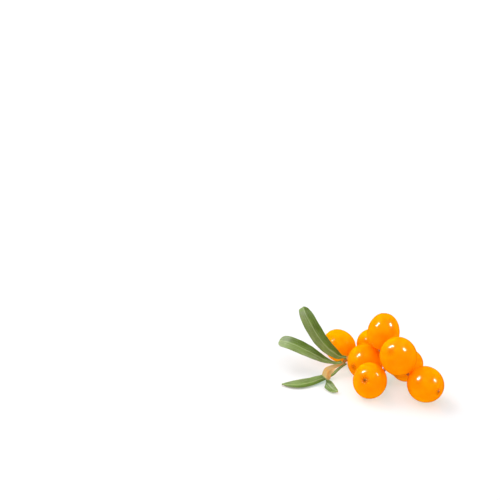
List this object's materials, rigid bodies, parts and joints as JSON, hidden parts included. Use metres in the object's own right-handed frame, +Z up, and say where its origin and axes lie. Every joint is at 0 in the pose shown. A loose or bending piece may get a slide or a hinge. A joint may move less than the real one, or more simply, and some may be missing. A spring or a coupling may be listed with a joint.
{
  "type": "sea buckthorn sprig",
  "caption": "Cut sprig of sea buckthorn lying on a table, with a cluster of round glossy orange berries on short stalks and narrow silvery-green leaves at the shoot tip.",
  "frame": {"origin": "on the table, under the middle of the whole sprig", "axes": "+X from the leaf tips to the outermost berry, +Y from the front berry to the back, +Z up from the table"},
  "size_m": [0.0426, 0.0321, 0.0187],
  "materials": {
    "berry_skin": "gloss",
    "leaf_green": "satin",
    "bark": "matte"
  },
  "bodies": {
    "root": {"twig": "bark", "berry_front": "berry_skin", "berry_outer": "berry_skin", "berry_large": "berry_skin", "berry_top": "berry_skin", "berry_middle": "berry_skin", "berry_left": "berry_skin", "berry_back": "berry_skin", "berry_low": "berry_skin", "leaf_upright": "leaf_green", "leaf_side": "leaf_green", "leaf_curled": "leaf_green", "leaf_flat": "leaf_green"}
  },
  "joints": []
}
